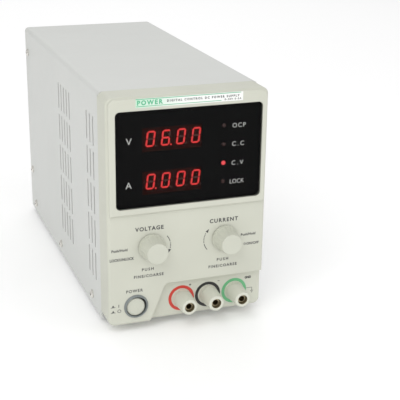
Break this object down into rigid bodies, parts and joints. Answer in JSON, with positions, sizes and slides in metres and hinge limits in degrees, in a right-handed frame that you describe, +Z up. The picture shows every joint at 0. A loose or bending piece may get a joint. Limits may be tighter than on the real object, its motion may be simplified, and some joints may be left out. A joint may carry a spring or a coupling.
{
  "type": "bench power supply",
  "caption": "Narrow upright bench power supply with a lit display window, push-turn knobs, a mains button, binding posts and a rear fan",
  "frame": {"origin": "centre of the footprint of the whole object, on the plane the feet stand on", "axes": "+X to the right seen from the front, +Y from the front to the back, +Z up"},
  "size_m": [0.1134, 0.2752, 0.162],
  "materials": {
    "cover_paint": "satin light grey powder coat",
    "plated_sheet": "zinc plated sheet",
    "bezel_plastic": "fine-grained cream moulding",
    "knob_plastic": "satin cream moulding",
    "ring_plastic": "mid grey ring",
    "screw_steel": "nickel plate",
    "foot_rubber": "black rubber",
    "window_lens": "clear acrylic lens",
    "black_print": "black back print",
    "board_laminate": "green solder mask",
    "readout_face": "dark red-brown face with lit red segments",
    "lamp_resin": "3 mm indicator resin",
    "black_moulding": "black moulding",
    "encoder_metal": "plain aluminium",
    "pale_moulding": "natural nylon",
    "red_moulding": "red slider",
    "relay_case": "blue relay case",
    "post_brass": "nickelled and plain brass",
    "core_steel": "varnished laminations",
    "winding_tape": "polyester tape over copper",
    "wire_insulation": "PVC insulation",
    "fuse_glass": "glass tube with metal ends"
  },
  "bodies": {
    "cabinet": {"board_standoffs": "post_brass", "bottom_chassis": "plated_sheet", "bridge_rectifier": "black_moulding", "cover_screws": "screw_steel", "current_encoder": "black_moulding", "display_board": "board_laminate", "display_window": "window_lens", "earth_post_stud": "post_brass", "fan_frame": "black_moulding", "fan_guard": "screw_steel", "fan_screws": "screw_steel", "filter_capacitors": "encoder_metal", "front_bezel": "bezel_plastic", "heat_sink": "encoder_metal", "indicators": "lamp_resin", "inlet_pins": "post_brass", "machine_screws": "screw_steel", "mains_inlet": "black_moulding", "negative_post_stud": "post_brass", "output_leads": "wire_insulation", "output_terminals": "black_moulding", "pass_transistors": "black_moulding", "positive_post_stud": "post_brass", "post_insulators": "pale_moulding", "post_nuts": "post_brass", "post_tags": "plated_sheet", "power_board": "board_laminate", "power_button_ring": "ring_plastic", "power_switch": "black_moulding", "readouts": "readout_face", "rear_panel": "cover_paint", "rubber_feet": "foot_rubber", "sink_brackets": "plated_sheet", "tap_relays": "relay_case", "top_cover": "cover_paint", "transformer_bobbin": "pale_moulding", "transformer_core": "core_steel", "transformer_feet": "plated_sheet", "transformer_winding": "winding_tape", "voltage_encoder": "black_moulding", "voltage_selector": "black_moulding", "window_mask": "black_print"},
    "voltage_rotor": {"voltage_encoder_rotor": "pale_moulding"},
    "voltage_control": {"voltage_encoder_shaft": "encoder_metal", "voltage_knob": "knob_plastic"},
    "current_rotor": {"current_encoder_rotor": "pale_moulding"},
    "current_control": {"current_encoder_shaft": "encoder_metal", "current_knob": "knob_plastic"},
    "power_push": {"power_button": "knob_plastic", "switch_plunger": "pale_moulding"},
    "positive_carrier": {"positive_cap_insert": "post_brass"},
    "positive_cap": {"positive_post_cap": "knob_plastic"},
    "negative_carrier": {"negative_cap_insert": "post_brass"},
    "negative_cap": {"negative_post_cap": "knob_plastic"},
    "earth_carrier": {"earth_cap_insert": "post_brass"},
    "earth_cap": {"earth_post_cap": "knob_plastic"},
    "fan_spinner": {"fan_rotor": "black_moulding"},
    "fuse_holder": {"fuse_drawer": "black_moulding", "fuse_link": "fuse_glass"},
    "selector_button": {"selector_slider": "red_moulding"}
  },
  "joints": [
    {"name": "voltage_turn", "type": "hinge", "parent": "cabinet", "child": "voltage_rotor", "pos_m": [-0.0253, -0.11765, 0.0605], "axis": [0, 1, 0], "continuous": true},
    {"name": "voltage_press", "type": "slide", "parent": "voltage_rotor", "child": "voltage_control", "axis": [0, 1, 0], "range_m": [0, 0.0005], "stiffness_N_per_m": 3000, "springref_m": -0.0005},
    {"name": "current_turn", "type": "hinge", "parent": "cabinet", "child": "current_rotor", "pos_m": [0.0262, -0.11765, 0.0605], "axis": [0, 1, 0], "continuous": true},
    {"name": "current_press", "type": "slide", "parent": "current_rotor", "child": "current_control", "axis": [0, 1, 0], "range_m": [0, 0.0005], "stiffness_N_per_m": 3000, "springref_m": -0.0005},
    {"name": "power_latch", "type": "slide", "parent": "cabinet", "child": "power_push", "axis": [0, 1, 0], "range_m": [-0.0025, 0.001]},
    {"name": "positive_advance", "type": "slide", "parent": "cabinet", "child": "positive_carrier", "axis": [0, -1, 0], "range_m": [0, 0.004]},
    {"name": "positive_unscrew", "type": "hinge", "parent": "positive_carrier", "child": "positive_cap", "pos_m": [-0.00245, -0.12965, 0.0184], "axis": [0, -1, 0], "range_deg": [0, 1440]},
    {"name": "negative_advance", "type": "slide", "parent": "cabinet", "child": "negative_carrier", "axis": [0, -1, 0], "range_m": [0, 0.004]},
    {"name": "negative_unscrew", "type": "hinge", "parent": "negative_carrier", "child": "negative_cap", "pos_m": [0.0166, -0.12965, 0.0184], "axis": [0, -1, 0], "range_deg": [0, 1440]},
    {"name": "earth_advance", "type": "slide", "parent": "cabinet", "child": "earth_carrier", "axis": [0, -1, 0], "range_m": [0, 0.004]},
    {"name": "earth_unscrew", "type": "hinge", "parent": "earth_carrier", "child": "earth_cap", "pos_m": [0.03565, -0.12965, 0.0184], "axis": [0, -1, 0], "range_deg": [0, 1440]},
    {"name": "fan_spin", "type": "hinge", "parent": "cabinet", "child": "fan_spinner", "pos_m": [0, 0.12035, 0.12], "axis": [0, 1, 0], "continuous": true},
    {"name": "fuse_pull", "type": "slide", "parent": "cabinet", "child": "fuse_holder", "axis": [0, 1, 0], "range_m": [0, 0.022]},
    {"name": "voltage_select", "type": "slide", "parent": "cabinet", "child": "selector_button", "axis": [-1, 0, 0], "range_m": [0, 0.005]}
  ],
  "couplings": [
    {"joint": "positive_unscrew", "follows": "positive_advance", "rad_per_m": 6283.2},
    {"joint": "negative_unscrew", "follows": "negative_advance", "rad_per_m": 6283.2},
    {"joint": "earth_unscrew", "follows": "earth_advance", "rad_per_m": 6283.2}
  ]
}
